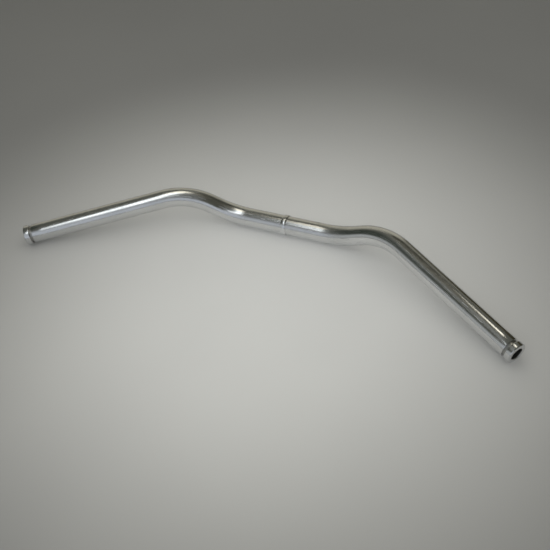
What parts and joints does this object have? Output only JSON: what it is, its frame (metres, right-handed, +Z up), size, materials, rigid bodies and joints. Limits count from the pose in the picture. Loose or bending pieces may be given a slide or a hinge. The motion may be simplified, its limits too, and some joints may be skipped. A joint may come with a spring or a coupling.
{
  "type": "handlebar",
  "caption": "Bare swept-back motorcycle handlebar of bent polished tube, with a raised ring round its middle and a grooved, collared bush in each end.",
  "frame": {"origin": "on the surface the bar lies on, in the middle of its footprint", "axes": "+X along the clamped middle towards the right end, +Y away from the grips, +Z up from the surface"},
  "size_m": [0.5908, 0.1316, 0.0441],
  "materials": {
    "polished_tube": "mirror polished along the tube, with faint handling marks",
    "polished_ring": "turned and polished",
    "turned_bush": "fine turned, polished on the collar"
  },
  "bodies": {
    "root": {"bar_tube": "polished_tube", "centre_ring": "polished_ring", "left_end_bush": "turned_bush", "right_end_bush": "turned_bush"}
  },
  "joints": []
}
